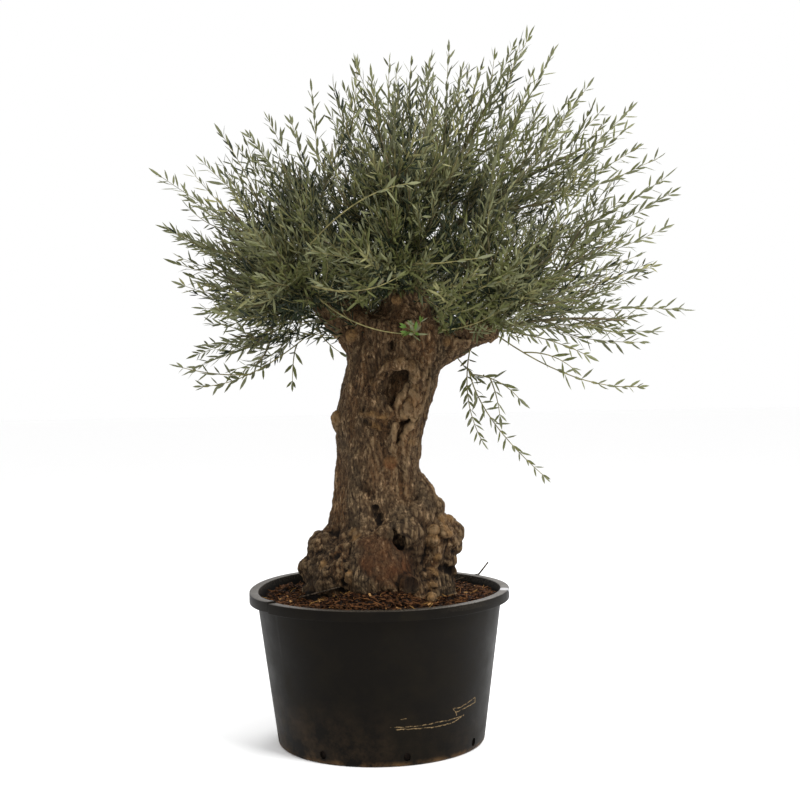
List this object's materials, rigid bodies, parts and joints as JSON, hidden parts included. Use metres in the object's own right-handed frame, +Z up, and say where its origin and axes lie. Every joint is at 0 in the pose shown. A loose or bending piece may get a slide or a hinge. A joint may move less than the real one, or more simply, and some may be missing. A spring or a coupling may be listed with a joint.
{
  "type": "olive bonsai in a nursery pot",
  "caption": "Old olive trained as a large bonsai: thick gnarled trunk with a swollen burr at its foot, short boughs and an open leafy crown, in a round plastic pot.",
  "frame": {"origin": "middle of the pot's flat underside", "axes": "+Z up along the trunk, +X to the viewer's right, -Y towards the viewer"},
  "size_m": [1.4814, 1.2563, 1.9446],
  "materials": {
    "pot_plastic": "moulded, matt, scuffed",
    "potting_soil": "loose bark chips and fibre",
    "bark": "rough furrowed bark",
    "foliage": "leathery grey-green leaves"
  },
  "bodies": {
    "root": {"pot": "pot_plastic", "soil": "potting_soil", "trunk": "bark", "bough_left": "bark", "bough_right": "bark", "bough_centre": "bark", "bough_back_left": "bark", "bough_back_right": "bark", "foliage_left_low": "foliage", "foliage_left_side": "foliage", "foliage_left_upper": "foliage", "foliage_left_front": "foliage", "foliage_top_left": "foliage", "foliage_top": "foliage", "foliage_top_right": "foliage", "foliage_right_upper": "foliage", "foliage_top_front": "foliage", "foliage_front": "foliage", "foliage_right_side": "foliage", "foliage_right_low": "foliage", "foliage_right_droop": "foliage", "foliage_right_front": "foliage", "foliage_right_hanging": "foliage", "foliage_back_left": "foliage", "foliage_back_left_top": "foliage", "foliage_back": "foliage", "foliage_back_right": "foliage", "foliage_back_right_top": "foliage"}
  },
  "joints": []
}
